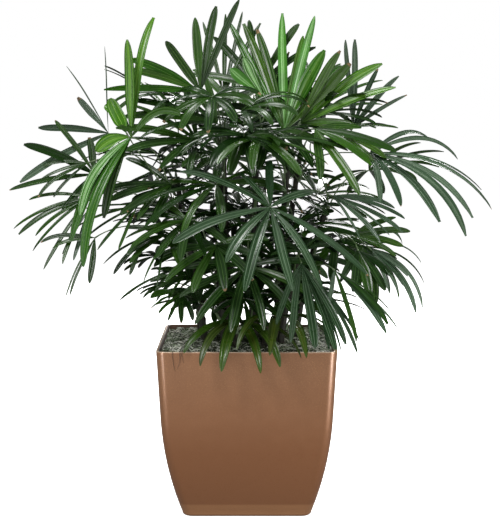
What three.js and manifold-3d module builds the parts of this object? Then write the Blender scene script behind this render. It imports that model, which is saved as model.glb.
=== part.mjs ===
import * as THREE from "three";
import { mergeVertices } from "three/addons/utils/BufferGeometryUtils.js";
import Module from "manifold-3d";

// A lady palm in its square tapered planter: a clump of thin canes, each carrying a few
// fan-shaped fronds on long stalks, over a root ball topped with moss.
// Millimetres, +Z up, origin on the floor under the middle of the planter, -Y is the front.

const wasm = await Module();
wasm.setup();

// ---------------------------------------------------------------- driving dimensions

const planter = {
  height: 350,
  rimHalf: 181.5, // half the width over the rim
  taper: 0.054, // inward run per mm of fall, all the way down
  bendDepth: 137, // below the rim, where the sides start to curve in
  bend: 0.00072, // extra inward run per mm squared below that
  wall: 6,
  floor: 10,
  corner: 20, // outer corner radius, seen from above
  footRound: 8,
  rimRound: 1.5,
  cornerSteps: 4,
};

const clearance = 0.4; // between solids that rest on or in each other
const soilTop = 318; // flat top of the root ball, where the canes are cut
const moss = { edge: 336, crown: 347, crownHalf: 105 };

const cane = { footRadius: 7.5, topRadius: 6, sides: 6, rings: 5, tip: 5, straight: 0.4 };
const stalk = { radius: 2.2, sides: 3, steps: 6, firstBelowTop: 12, spacing: 26 };
const shoot = { lowerThan: 450, firstBelowTop: 8, spacing: 14 };
const blade = {
  wide: 19, // full width of a leaflet, where a frond states none
  narrowing: 0.25, // loss of width from the middle leaflet to the outermost
  fall: 0.25, // loss of length from the middle leaflet to the outermost
  web: 0.13, // joined part at the hub, as a share of the reach
  keel: 2.7, // depth of the fold under a leaflet
  cup: 12, // degrees that the fan is dished towards its upper side
  astray: 0.14, // shift from even spacing, as a share of that spacing
  uneven: 0.1, // each length may be longer or shorter by this share
  twist: 30, // degrees, to either side
  cupVaries: 0.4,
  droopVaries: 0.25,
  steps: 12,
  firstRing: 4, // step of the first section, or later where the web reaches further
  lastFirstRing: 9,
  spacingShare: 0.72, // part of the room between neighbours that a leaflet may fill
  hubTop: 1.5,
  hubBottom: 3,
};
// share of the full width along a leaflet, from the hub to the blunt tip
const outline = [0.18, 0.42, 0.66, 0.84, 0.94, 0.99, 1, 1, 0.98, 0.94, 0.88, 0.78, 0.5];

// Each cane: foot on the soil, top, and its fronds. A frond: hub, aim (degrees round from
// +X, then above level), roll about the aim, spread of the fan, leaflets, reach of the
// middle leaflet, droop (bend of a level leaflet at its tip, in radians) and width.
// Where another frond stands close beside it on the same foot, that one is given with it.
const canes = [
  { foot: [-85, -50], top: [-130, -75, 600], fronds: [
    { hub: [-228, -150, 774], aim: [180, 0], roll: -75, reach: 240, droop: 1.6, wide: 20,
      tone: "fresh", angles: [-128, -95, -89, -68, 2, 40, 49, 58, 65],
      lengths: [0.5, 1.04, 0.8, 0.36, 0.32, 0.8, 1, 1.18, 0.72],
      widths: [0.8, 0.8, 1.1, 1.4, 1.3, 1, 1, 1, 0.9] },
    { hub: [-305, -120, 572], aim: [-160, -45], roll: -50, reach: 125, droop: 0.6, wide: 13,
      angles: [-56, -44, 16, 22, 42], lengths: [0.9, 0.7, 1.12, 1.06, 0.8], widths: [0.7, 0.7, 0.4, 0.4, 1] },
    { hub: [-215, -160, 640], aim: [-160, -32], roll: -45, spread: 90, count: 5, reach: 130,
      droop: 0.3, wide: 8 },
  ] },
  { foot: [-95, 30], top: [-150, 40, 680], fronds: [
    { hub: [-292, 40, 779], aim: [180, 38], roll: -75, reach: 175, droop: 0.15, wide: 15,
      tone: "grey", angles: [-49, -22, -12, 32, 65], lengths: [1.04, 0.94, 0.56, 0.85, 1.28],
      widths: [0.2, 0.22, 1, 1, 1.1] },
    { hub: [-315, -20, 695], aim: [180, 15], roll: -68, reach: 172, droop: 0.25, wide: 21,
      angles: [-66, -40, -10, 26, 66], lengths: [0.45, 0.8, 0.92, 1.05, 0.65],
      widths: [0.8, 0.5, 1, 0.6, 0.8] },
    { hub: [-320, -60, 650], aim: [180, -34], roll: -50, reach: 172, droop: 0.45, wide: 13,
      angles: [-40, -17, -10, 3, 15, 32, 46], lengths: [0.78, 1, 0.97, 0.8, 0.95, 1.05, 0.93] },
  ] },
  { foot: [-45, -85], top: [-60, -125, 520], fronds: [
    { hub: [-154, -180, 586], aim: [-165, -20], roll: -45, reach: 100, droop: 0.5, wide: 16,
      angles: [-38, 4, 16, 44, 59, 86], lengths: [0.88, 0.98, 1.06, 1.25, 1.4, 0.93],
      widths: [0.7, 1.4, 1, 0.35, 0.3, 1.2] },
    { hub: [-130, -150, 465], aim: [-140, -15], roll: -45, reach: 88, droop: 0.6, wide: 13,
      angles: [-22, -4, 13, 28, 49, 73], lengths: [0.85, 1, 0.9, 0.95, 0.9, 0.8],
      widths: [1.3, 0.4, 0.5, 0.6, 0.9, 0.9],
      beside: { hub: [-90, -70, 430], aim: [-130, 0], spread: 220, count: 7, reach: 95, droop: 0.5 } },
    { hub: [-60, -200, 565], aim: [-98, -45], spread: 230, count: 8, reach: 130, droop: 0.5 },
    { hub: [-115, -165, 610], aim: [-140, -30], roll: -20, spread: 200, count: 8, reach: 130,
      droop: 0.5 },
  ] },
  { foot: [-40, -20], top: [-50, -25, 770], fronds: [
    { hub: [-150, -120, 680], aim: [-165, -18], roll: -45, reach: 135, droop: 0.4,
      angles: [-62, -16, -4, 14, 32, 50], lengths: [0.85, 1, 0.98, 0.95, 0.9, 0.85],
      beside: { hub: [-110, 0, 740], aim: [170, 10], spread: 220, count: 7, reach: 165, droop: 0.5 } },
    { hub: [-95, -40, 865], aim: [170, 65], roll: -70, reach: 180, droop: 0.2,
      angles: [-45, -33, -18, 10, 38, 47, 63], lengths: [1.12, 0.97, 0.83, 0.69, 0.88, 0.85, 1.13],
      beside: { hub: [-60, -60, 800], aim: [178, 14], roll: -35, spread: 150, count: 7, reach: 190, droop: 0.4,
        wide: 21 } },
    { hub: [-60, -140, 680], aim: [-110, -30], spread: 260, count: 9, reach: 190, droop: 0.5,
      beside: { hub: [-60, -60, 610], aim: [-140, -10], spread: 230, count: 7, reach: 165, droop: 0.5 } },
    { hub: [-100, -100, 765], aim: [-165, 10], roll: -40, spread: 180, count: 7, reach: 170,
      droop: 0.4 },
  ] },
  { foot: [-35, 60], top: [-60, 100, 720], fronds: [
    { hub: [-50, 60, 860], aim: [70, 80], roll: 180, spread: 50, count: 4, reach: 212, droop: 0.1,
      wide: 12 },
  ] },
  { foot: [10, -60], top: [15, -95, 640], fronds: [
    { hub: [45, -290, 645], aim: [-80, -40], reach: 225, droop: 0.4, tone: "blue",
      angles: [-152, -121, -67, -38, -22, 0, 14, 37, 118, 175],
      lengths: [0.47, 0.82, 1, 0.87, 1.06, 1, 1.1, 1.13, 0.44, 0.53] },
    { hub: [0, -190, 520], aim: [-90, -50], spread: 220, count: 8, reach: 165, droop: 0.5,
      beside: { hub: [-5, -85, 450], aim: [-95, -10], spread: 220, count: 7, reach: 140, droop: 0.6 } },
  ] },
  { foot: [15, 10], top: [20, 10, 780], fronds: [
    { hub: [110, -60, 800], aim: [0, 30], roll: 65, reach: 185, droop: 0.3, wide: 22,
      tone: "fresh", angles: [-34, -10, 9, 25, 50], lengths: [0.66, 1.12, 1.11, 0.77, 0.6] },
    { hub: [25, -150, 770], aim: [-80, -20], spread: 230, count: 8, reach: 185, droop: 0.6,
      wide: 22,
      beside: { hub: [35, 30, 790], aim: [60, 30], spread: 230, count: 7, reach: 165, droop: 0.5 } },
  ] },
  { foot: [20, 85], top: [40, 140, 660], fronds: [] },
  { foot: [60, -30], top: [85, -45, 720], fronds: [
    { hub: [75, -100, 785], aim: [90, 78], roll: 180, reach: 258, droop: 0.12, wide: 20,
      tone: "pale", angles: [-25, -17, -11, -1, 11, 15, 23, 40],
      lengths: [1.06, 1.01, 0.94, 1.09, 0.89, 1.02, 0.76, 0.77], widths: [0.9, 1, 0.9, 1, 1, 0.9, 1.4, 1.4] },
    { hub: [170, -140, 658], aim: [-18, -32], roll: 25, spread: 90, count: 6, reach: 155,
      droop: 0.4, wide: 14, tone: "grey",
      beside: { hub: [110, -30, 590], aim: [-30, -10], spread: 220, count: 7, reach: 160, droop: 0.6 } },
    { hub: [45, -90, 788], aim: [-65, -35], roll: 10, spread: 150, count: 5, reach: 140,
      droop: 0.9, wide: 24 },
    { hub: [135, -140, 790], aim: [-5, -15], roll: 55, reach: 168, droop: 0.4, wide: 20,
      tone: "mid", angles: [-70, -46, -20, 0, 22], lengths: [0.75, 1.05, 0.85, 1, 0.55] },
  ] },
  { foot: [70, 50], top: [115, 80, 740], fronds: [
    { hub: [226, 80, 790], aim: [10, 60], roll: 65, reach: 155, droop: 0.2, wide: 13,
      tone: "grey", angles: [-30, -12, 6, 25, 33], lengths: [0.88, 0.95, 0.88, 1.2, 1.2] },
    { hub: [252, -60, 740], aim: [-15, -15], roll: 25, reach: 250, droop: 1.12, tone: "grey",
      angles: [-66, -50, -35, -25, -11, 3, 16, 52, 72],
      lengths: [0.66, 0.7, 0.95, 1.2, 1.06, 1.13, 0.98, 0.9, 0.85] },
  ] },
  { foot: [65, -90], top: [105, -140, 530], fronds: [
    { hub: [105, -250, 535], aim: [-72, -55], reach: 195, droop: 0.4, wide: 16, tone: "blue",
      angles: [-37, -24, -6, 8, 15], lengths: [0.85, 0.97, 1, 1.05, 1], widths: [0.8, 1, 1.1, 1.2, 1] },
    { hub: [172, -200, 515], aim: [-42, -50], roll: 10, reach: 165, droop: 0.5, wide: 16,
      angles: [-50, -25, 8, 15, 22, 34], lengths: [0.66, 1.05, 1, 0.92, 1.03, 0.85],
      widths: [0.6, 0.8, 1.1, 1, 0.4, 0.3],
      beside: { hub: [95, -60, 440], aim: [-40, -10], spread: 220, count: 7, reach: 150, droop: 0.5 } },
  ] },
  { foot: [100, 0], top: [165, -5, 620], fronds: [
    { hub: [234, -100, 554], aim: [-20, -32], roll: 35, reach: 165, droop: 1.8, wide: 15,
      angles: [-76, -42, -18, -8, -2, 10, 30, 54, 86],
      lengths: [0.46, 0.85, 0.72, 0.85, 1.1, 1.12, 0.95, 0.88, 0.76],
      widths: [1.3, 1.5, 0.8, 0.7, 0.8, 0.7, 0.5, 0.3, 1.1],
      beside: { hub: [180, -60, 560], aim: [-60, -50], spread: 200, count: 7, reach: 120, droop: 0.6 } },
  ] },
  { foot: [-20, -100], top: [-24, -112, 385], fronds: [
    { hub: [-15, -125, 405], aim: [-90, -15], spread: 150, count: 6, reach: 185, droop: 1.6,
      tone: "mid" },
  ] },
  { foot: [35, -108], top: [42, -122, 390], fronds: [
    { hub: [65, -135, 415], aim: [-75, 0], spread: 120, count: 5, reach: 185, droop: 1.6,
      tone: "mid" },
  ] },
];

// Fronds that fill the crown behind and inside, tier by tier: height and radius of the
// hubs, how many, the arc they are dealt over, rise of their aim, and whether each has a
// twin, a second frond on the same foot, nearer in and higher up.
const tiers = [
  { height: 510, radius: 185, count: 4, from: 20, to: 147, rise: -20, reach: 175, droop: 0.4, twin: true },
  { height: 670, radius: 255, count: 5, from: 12, to: 175, rise: -12, reach: 185, droop: 0.5, twin: true },
  { height: 800, radius: 165, count: 3, from: 10, to: 180, rise: 30, reach: 195, droop: 0.4, twin: false },
  { height: 815, radius: 60, count: 1, from: 40, to: 60, rise: 60, reach: 160, droop: 0.3, twin: true },
];
const twin = { inward: 0.3, higher: 70, rise: 10 };
const filler = { count: 8, place: 8, radius: 0.12, height: 30, aim: 20, rise: 10, roll: 25, reach: 0.1 };

const tones = { fresh: "#4f8f1f", pale: "#6f9b5a", grey: "#4d6355", blue: "#3b5f52", mid: "#3f6f24", deep: "#23481f" };

// ---------------------------------------------------------------- small helpers

const radians = THREE.MathUtils.degToRad;
const upward = new THREE.Vector3(0, 0, 1);

// the same small random generator wherever the plant is grown
function seeded(seed) {
  let state = seed >>> 0;
  const next = () => {
    state = (state + 0x6d2b79f5) >>> 0;
    let t = state;
    t = Math.imul(t ^ (t >>> 15), t | 1);
    t ^= t + Math.imul(t ^ (t >>> 7), t | 61);
    return ((t ^ (t >>> 14)) >>> 0) / 4294967296;
  };
  return (low, high) => low + (high - low) * next();
}

function numbered(word, index) {
  return `${word}_${String(index + 1).padStart(2, "0")}`;
}

function geometryOf(points, faces) {
  const geometry = new THREE.BufferGeometry().setFromPoints(points);
  geometry.setIndex(faces.flat());
  return geometry;
}

// skin through rings of equal point count, each right-handed about the way forward
function loft(rings, tip) {
  const count = rings[0].length;
  const points = rings.flat();
  const faces = [];
  for (let r = 0; r + 1 < rings.length; r++) {
    for (let i = 0; i < count; i++) {
      const a = r * count + i;
      const b = r * count + ((i + 1) % count);
      faces.push([a, b, b + count], [a, b + count, a + count]);
    }
  }
  for (let i = 1; i + 1 < count; i++) faces.push([0, i + 1, i]);
  const last = points.length - count;
  if (tip) {
    points.push(tip);
    for (let i = 0; i < count; i++) faces.push([last + i, last + ((i + 1) % count), points.length - 1]);
  } else {
    for (let i = 1; i + 1 < count; i++) faces.push([last, last + i, last + i + 1]);
  }
  return geometryOf(points, faces);
}

function toSolid(geometry) {
  const merged = mergeVertices(geometry.clone(), 1e-4);
  const vertProperties = new Float32Array(merged.attributes.position.array);
  const triVerts = new Uint32Array(merged.index.array);
  return new wasm.Manifold(new wasm.Mesh({ numProp: 3, vertProperties, triVerts }));
}

function fromSolid(solid) {
  const { numProp, vertProperties, triVerts } = solid.getMesh();
  const geometry = new THREE.BufferGeometry();
  const position = new Float32Array((vertProperties.length / numProp) * 3);
  for (let i = 0; i < position.length / 3; i++) {
    position.set(vertProperties.subarray(i * numProp, i * numProp + 3), i * 3);
  }
  geometry.setAttribute("position", new THREE.BufferAttribute(position, 3));
  geometry.setIndex(Array.from(triVerts));
  return geometry;
}

// ---------------------------------------------------------------- planter, root ball, moss

function outerHalf(z) {
  const depth = planter.height - z;
  const below = Math.max(0, depth - planter.bendDepth);
  return planter.rimHalf - planter.taper * depth - planter.bend * below * below;
}

function squareRing(half, corner, z) {
  const ring = [];
  for (let quarter = 0; quarter < 4; quarter++) {
    const sx = quarter === 0 || quarter === 3 ? 1 : -1;
    const sy = quarter < 2 ? 1 : -1;
    for (let i = 0; i <= planter.cornerSteps; i++) {
      const angle = (quarter + i / planter.cornerSteps) * (Math.PI / 2);
      const x = sx * (half - corner) + corner * Math.cos(angle);
      const y = sy * (half - corner) + corner * Math.sin(angle);
      ring.push(new THREE.Vector3(x, y, z));
    }
  }
  return ring;
}

const innerLevels = [planter.floor, 60, 120, 215, planter.height];
const innerCorner = planter.corner - planter.wall;

// the inside wall runs straight between its levels
function innerHalf(z) {
  for (let i = 1; i < innerLevels.length; i++) {
    const [low, high] = [innerLevels[i - 1], innerLevels[i]];
    if (z <= high) {
      const share = (z - low) / (high - low);
      return THREE.MathUtils.lerp(outerHalf(low), outerHalf(high), share) - planter.wall;
    }
  }
  return outerHalf(planter.height) - planter.wall;
}

function planterShell() {
  const { footRound, rimRound, corner, height } = planter;
  const rings = [];
  for (const angle of [0, 30, 60, 90].map(radians)) {
    const inset = footRound * (1 - Math.sin(angle));
    const z = footRound * (1 - Math.cos(angle));
    rings.push(squareRing(outerHalf(footRound) - inset, corner - inset / 2, z));
  }
  for (const z of [40, 80, 120, 165, 213, height - rimRound]) rings.push(squareRing(outerHalf(z), corner, z));
  rings.push(squareRing(outerHalf(height) - rimRound, corner - rimRound, height));
  for (const z of [...innerLevels].reverse()) rings.push(squareRing(innerHalf(z), innerCorner, z));
  return loft(rings);
}

function fillingRing(z) {
  return squareRing(innerHalf(z) - clearance, innerCorner - clearance, z);
}

function rootBall() {
  const bottom = planter.floor + clearance;
  return loft([bottom, 60, 120, 215, soilTop].map(fillingRing));
}

function mossLayer(standing) {
  const crown = squareRing(moss.crownHalf, innerCorner, moss.crown);
  let solid = toSolid(loft([fillingRing(soilTop + clearance), fillingRing(moss.edge), crown]));
  for (const row of standing) {
    const levels = [soilTop - 20, ...caneLevels(row)];
    solid = solid.subtract(toSolid(caneTube(row, clearance, levels)));
  }
  return fromSolid(solid);
}

// ---------------------------------------------------------------- canes

function caneAt(row, z) {
  const rise = (z - soilTop) / (row.top[2] - soilTop);
  const share = cane.straight * rise + (1 - cane.straight) * rise * rise;
  const x = THREE.MathUtils.lerp(row.foot[0], row.top[0], share);
  const y = THREE.MathUtils.lerp(row.foot[1], row.top[1], share);
  return new THREE.Vector3(x, y, z);
}

function caneRadius(row, z) {
  const rise = (z - soilTop) / (row.top[2] - soilTop);
  return THREE.MathUtils.lerp(cane.footRadius, cane.topRadius, THREE.MathUtils.clamp(rise, 0, 1));
}

// level sections, so that the foot is cut flat
function caneTube(row, grow, levels, tip) {
  const rings = [];
  for (const z of levels) {
    const middle = caneAt(row, z);
    const radius = caneRadius(row, z) + grow;
    const ring = [];
    for (let i = 0; i < cane.sides; i++) {
      const angle = (i / cane.sides) * 2 * Math.PI;
      ring.push(new THREE.Vector3(Math.cos(angle) * radius, Math.sin(angle) * radius, 0).add(middle));
    }
    rings.push(ring);
  }
  return loft(rings, tip);
}

function caneLevels(row) {
  const levels = [];
  for (let r = 0; r < cane.rings; r++) {
    levels.push(THREE.MathUtils.lerp(soilTop + clearance, row.top[2], r / (cane.rings - 1)));
  }
  return levels;
}

function caneBody(row) {
  const tip = caneAt(row, row.top[2] + cane.tip);
  return caneTube(row, 0, caneLevels(row), tip);
}

// ---------------------------------------------------------------- the plan of all fronds

function drawLeaflets(frond, random) {
  const leaflets = [];
  for (let i = 0; i < frond.count; i++) {
    const across = ((i + 0.5) / frond.count) * 2 - 1;
    const [turn, longer, sag, twist] = [random(-1, 1), random(-1, 1), random(-1, 1), random(-1, 1)];
    const even = (frond.spread / 2) * across + turn * (frond.spread / frond.count) * blade.astray;
    const angle = frond.angles ? frond.angles[i] : even;
    const share = frond.lengths ? frond.lengths[i] : (1 - frond.fall * across * across) * (1 + blade.uneven * longer);
    const broad = frond.widths ? frond.widths[i] : 1 - blade.narrowing * across * across;
    const [length, wide] = [frond.reach * share, frond.wide * broad];
    leaflets.push({ angle, length, sag, twist: radians(blade.twist * twist), wide });
  }
  return leaflets;
}

function fillers() {
  const random = seeded(7);
  const nodes = [];
  for (const tier of tiers) {
    const step = (tier.to - tier.from) / tier.count;
    for (let i = 0; i < tier.count; i++) {
      const fronds = [];
      for (let t = 0; t <= (tier.twin ? 1 : 0); t++) {
        const place = tier.twin ? i + 0.25 + 0.5 * t : i + 0.5;
        const azimuth = tier.from + step * place + random(-filler.place, filler.place);
        const radius = tier.radius * (1 + random(-filler.radius, filler.radius)) * (1 - twin.inward * t);
        const z = tier.height + random(-filler.height, filler.height) + twin.higher * t;
        const hub = [radius * Math.cos(radians(azimuth)), radius * Math.sin(radians(azimuth)), z];
        const turned = azimuth + random(-filler.aim, filler.aim);
        const aim = [turned, tier.rise + random(-filler.rise, filler.rise) + twin.rise * t];
        const roll = random(-filler.roll, filler.roll);
        const spread = random(200, 290);
        const reach = tier.reach * (1 + random(-filler.reach, filler.reach));
        const count = filler.count;
        fronds.push({ hub, aim, roll, spread, count, reach, droop: tier.droop, wide: random(15, 20) });
      }
      nodes.push({ fronds });
    }
  }
  return nodes;
}

// the standing cane that is near, not above the hub and not yet crowded
function chooseCane(hub, load) {
  let best = null;
  canes.forEach((row, index) => {
    if (row.top[2] < shoot.lowerThan) return;
    const away = Math.hypot(row.top[0] - hub[0], row.top[1] - hub[1]);
    const rise = hub[2] - row.top[2];
    const cost = away + 2 * Math.max(0, 20 - rise) + 1.5 * Math.max(0, rise - 200) + 35 * load[index];
    if (!best || cost < best.cost) best = { cost, index };
  });
  return best.index;
}

function planFronds() {
  const nodes = [];
  canes.forEach((row, index) => {
    for (const frond of row.fronds) {
      nodes.push({ cane: index, fronds: frond.beside ? [frond, frond.beside] : [frond] });
    }
  });
  const load = canes.map((row) => row.fronds.length);
  for (const node of fillers()) {
    const index = chooseCane(node.fronds[0].hub, load);
    load[index] += 1;
    nodes.push({ cane: index, fronds: node.fronds });
  }
  let number = 0;
  for (const node of nodes) {
    node.fronds = node.fronds.map((given) => {
      const count = given.angles ? given.angles.length : given.count;
      const usual = { roll: 0, spread: 200, wide: blade.wide, fall: blade.fall, tone: "deep" };
      const frond = { ...usual, ...given, count };
      const leaflets = drawLeaflets(frond, seeded(100 + number));
      number += 1;
      return { ...frond, leaflets };
    });
  }
  canes.forEach((row, index) => {
    const mine = nodes.filter((node) => node.cane === index);
    mine.sort((a, b) => b.fronds[0].hub[2] - a.fronds[0].hub[2]);
    mine.forEach((node, order) => (node.order = order));
  });
  return nodes;
}

// ---------------------------------------------------------------- frond shapes

// aim, upper side and sideways direction of a fan
function fanFrame(frond) {
  const [azimuth, rise] = frond.aim.map(radians);
  const aim = new THREE.Vector3(Math.cos(rise) * Math.cos(azimuth), Math.cos(rise) * Math.sin(azimuth), Math.sin(rise));
  const upper = new THREE.Vector3(
    -Math.sin(rise) * Math.cos(azimuth),
    -Math.sin(rise) * Math.sin(azimuth),
    Math.cos(rise),
  );
  upper.applyAxisAngle(aim, radians(frond.roll));
  const side = upper.clone().cross(aim);
  return { aim, upper, side };
}

function fanDirection(frame, angle) {
  const a = radians(angle);
  return frame.aim.clone().multiplyScalar(Math.cos(a)).addScaledVector(frame.side, Math.sin(a));
}

// middle line and width direction of one leaflet, bending down under its weight
function leafletLine(frond, leaflet, tweak) {
  const frame = fanFrame(frond);
  const along = fanDirection(frame, leaflet.angle + tweak.turn);
  const across = frame.upper.clone().cross(along);
  const cup = radians(blade.cup * (1 + blade.cupVaries * leaflet.sag));
  const heading = along.multiplyScalar(Math.cos(cup)).addScaledVector(frame.upper, Math.sin(cup));
  const length = leaflet.length * tweak.share;
  const droop = frond.droop * (1 + blade.droopVaries * leaflet.sag) + tweak.sag;
  const point = new THREE.Vector3(...frond.hub);
  const line = [{ point: point.clone(), heading: heading.clone(), across: across.clone() }];
  for (let s = 0; s < blade.steps; s++) {
    const share = (s + 0.5) / blade.steps;
    heading.addScaledVector(upward, (-droop * 2 * share) / blade.steps).normalize();
    across.addScaledVector(heading, -across.dot(heading)).normalize();
    across.applyAxisAngle(heading, leaflet.twist / blade.steps);
    point.addScaledVector(heading, length / blade.steps);
    line.push({ point: point.clone(), heading: heading.clone(), across: across.clone() });
  }
  return line;
}

// folded section: flat above, keel below
function leafletSection(at, wide, keel, lift) {
  const upper = at.heading.clone().cross(at.across);
  const top = at.point.clone().addScaledVector(upper, lift);
  return [
    top.clone().addScaledVector(at.across, wide / 2),
    top.clone().addScaledVector(at.across, -wide / 2),
    at.point.clone().addScaledVector(upper, -keel),
  ];
}

function leafletWidth(leaflet, room, step, length) {
  const along = (step / blade.steps) * length;
  return Math.min(leaflet.wide * outline[step], blade.spacingShare * along * radians(room));
}

// steps of the three sections that a leaflet has outside the web
function ringSteps(frond, length) {
  const clearOfWeb = Math.ceil(((blade.web * frond.reach + 8) / length) * blade.steps);
  const first = Math.max(blade.firstRing, clearOfWeb);
  return [first, Math.round((first + blade.steps) / 2), blade.steps];
}

function leafletSections(frond, leaflet, room, tweak, grow) {
  const line = leafletLine(frond, leaflet, tweak);
  const length = leaflet.length * tweak.share;
  return ringSteps(frond, length).map((step) => {
    const wide = leafletWidth(leaflet, room, step, length) + 2 * grow;
    const keel = step === blade.steps ? blade.keel * 0.6 : blade.keel;
    return leafletSection(line[step], wide, keel + grow, 0.6 * grow);
  });
}

// free room in degrees to the nearer neighbour
function roomAt(leaflets, i) {
  const gaps = [];
  if (i > 0) gaps.push(leaflets[i].angle - leaflets[i - 1].angle);
  if (i + 1 < leaflets.length) gaps.push(leaflets[i + 1].angle - leaflets[i].angle);
  return Math.min(...gaps, 60);
}

// the joined middle of a fan: borders between the leaflets, and a keel under each
function webOf(frond, grow) {
  const frame = fanFrame(frond);
  const hub = new THREE.Vector3(...frond.hub);
  const radius = blade.web * frond.reach + grow;
  const cup = radians(blade.cup);
  const at = (angle, reach, lift) => {
    const direction = fanDirection(frame, angle).multiplyScalar(Math.cos(cup));
    direction.addScaledVector(frame.upper, Math.sin(cup));
    return hub.clone().addScaledVector(direction, reach).addScaledVector(frame.upper, lift);
  };
  const angles = frond.leaflets.map((leaflet) => leaflet.angle);
  const count = angles.length;
  const borders = [angles[0] - Math.min(12, (angles[1] - angles[0]) / 2)];
  for (let i = 0; i + 1 < count; i++) borders.push((angles[i] + angles[i + 1]) / 2);
  borders.push(angles[count - 1] + Math.min(12, (angles[count - 1] - angles[count - 2]) / 2));
  return {
    top: hub.clone().addScaledVector(frame.upper, blade.hubTop + grow),
    bottom: hub.clone().addScaledVector(frame.upper, -blade.hubBottom - grow),
    borders: borders.map((angle) => at(angle, radius, grow / 2)),
    keels: angles.map((angle) => at(angle, radius * 0.97, -blade.keel - grow)),
  };
}

// one closed mesh: web and all its leaflets; a leaflet without sections ends at the web
function fanMesh(frond, sections, grow = 0) {
  const web = webOf(frond, grow);
  const count = frond.leaflets.length;
  const points = [web.top, web.bottom, ...web.borders, ...web.keels];
  const [top, bottom] = [0, 1];
  const border = (i) => 2 + i;
  const keel = (i) => 3 + count + i;
  const faces = [[border(0), top, bottom], [top, border(count), bottom]];
  for (let i = 0; i < count; i++) {
    faces.push([top, border(i), border(i + 1)]);
    faces.push([bottom, border(i + 1), keel(i)], [bottom, keel(i), border(i)]);
    let ring = [border(i + 1), border(i), keel(i)];
    for (const section of sections[i]) {
      const next = section.map((point) => points.push(point) - 1);
      for (let k = 0; k < 3; k++) {
        const m = (k + 1) % 3;
        faces.push([ring[k], ring[m], next[m]], [ring[k], next[m], next[k]]);
      }
      ring = next;
    }
    faces.push(ring);
  }
  return geometryOf(points, faces);
}

// stalk from the side of its cane to the hub
function stalkCurve(node, frond, start, bow, inward) {
  const row = canes[node.cane];
  const hub = new THREE.Vector3(...frond.hub);
  const low = row.top[2] < shoot.lowerThan ? shoot : stalk;
  const z = row.top[2] - low.firstBelowTop - low.spacing * node.order;
  const middle = caneAt(row, z);
  const first = node.fronds[0].hub;
  const azimuth = Math.atan2(first[1] - middle.y, first[0] - middle.x) + radians(bow.round);
  const outward = new THREE.Vector3(Math.cos(azimuth), Math.sin(azimuth), 0);
  const gap = caneRadius(row, z) + stalk.radius + clearance - inward;
  const foot = start || middle.clone().addScaledVector(outward, gap);
  const reach = foot.distanceTo(hub);
  const leave = outward.clone().multiplyScalar(0.4).addScaledVector(upward, 0.8).normalize();
  const arrive = fanFrame(frond).aim.addScaledVector(upward, 0.25).normalize();
  const aside = outward.clone().cross(upward).multiplyScalar(bow.aside);
  const second = foot.clone().addScaledVector(leave, reach * 0.4).add(aside);
  const third = hub.clone().addScaledVector(arrive, -reach * 0.35).addScaledVector(upward, bow.lift);
  return new THREE.CubicBezierCurve3(foot, second, third, hub);
}

function stalkTube(curve, grow) {
  const across = new THREE.Vector3(1, 0, 0);
  const rings = [];
  for (let s = 0; s <= stalk.steps; s++) {
    const share = s / stalk.steps;
    const heading = curve.getTangent(share);
    across.addScaledVector(heading, -across.dot(heading)).normalize();
    const other = heading.clone().cross(across);
    const middle = curve.getPoint(share);
    const radius = stalk.radius + grow;
    const ring = [];
    for (let i = 0; i < stalk.sides; i++) {
      const angle = (i / stalk.sides) * 2 * Math.PI;
      const spoke = across.clone().multiplyScalar(Math.cos(angle) * radius);
      ring.push(spoke.addScaledVector(other, Math.sin(angle) * radius).add(middle));
    }
    rings.push(ring);
  }
  return loft(rings);
}

// ---------------------------------------------------------------- keeping clear

const placed = [];

function place(owner, kind, geometry) {
  geometry.computeBoundingBox();
  placed.push({ owner, kind, box: geometry.boundingBox, solid: toSolid(geometry) });
}

// true where the shape meets nothing placed so far, apart from what it may join
function isClear(geometry, mayJoin = () => false) {
  geometry.computeBoundingBox();
  const near = placed.filter((one) => one.box.intersectsBox(geometry.boundingBox) && !mayJoin(one));
  if (near.length === 0) return true;
  const solid = toSolid(geometry);
  return near.every((one) => solid.intersect(one.solid).isEmpty());
}

const margin = 0.6; // kept round every shape while it looks for room
const seatGap = 0.3; // between a stalk and its cane
const gapReach = 10; // gaps are measured up to this width
const shortestEdge = 0.05;

// small changes tried in turn, the least first
const hubShifts = [[0, 0, 0]];
for (const far of [8, 16, 26]) {
  for (const axis of [2, 0, 1]) {
    for (const sign of [1, -1]) {
      const shift = [0, 0, 0];
      shift[axis] = sign * far;
      hubShifts.push(shift);
    }
  }
}
const bows = [];
for (const round of [0, 25, -25, 50, -50]) {
  for (const aside of [0, 15, -15, 30, -30]) {
    for (const lift of [0, 15, -15]) bows.push({ round, aside, lift });
  }
}
const tweaks = [];
for (const share of [1, 0.85, 0.7, 0.55]) {
  for (const turn of [0, 4, -4]) {
    for (const sag of [0, 0.2, -0.2, 0.4, -0.4]) tweaks.push({ share, turn, sag });
  }
}

// the web and stalk of a frond at the first place where both have room
function seatFrond(node, given, partner) {
  const bare = given.leaflets.map(() => []);
  const ownCane = placed.find((one) => one.owner === numbered("cane", node.cane));
  const joinsStalk = (one) => one === ownCane || (one.kind === "stalk" && one.owner === partner);
  for (const shift of hubShifts) {
    const frond = { ...given, hub: given.hub.map((value, axis) => value + shift[axis]) };
    if (!isClear(fanMesh(frond, bare, 2 * margin))) continue;
    for (const bow of bows) {
      const curve = partner
        ? stalkCurve(node, frond, onStalk(partner.stalk), bow, 0)
        : seatedCurve(node, frond, bow, ownCane.solid);
      const apart = toSolid(stalkTube(curve, 0)).minGap(ownCane.solid, gapReach);
      if (apart < seatGap / 2 || !isClear(stalkTube(curve, margin), joinsStalk)) continue;
      frond.stalk = curve;
      place(frond, "stalk", stalkTube(curve, 0));
      place(frond, "web", fanMesh(frond, bare));
      return frond;
    }
  }
  return null;
}

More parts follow.
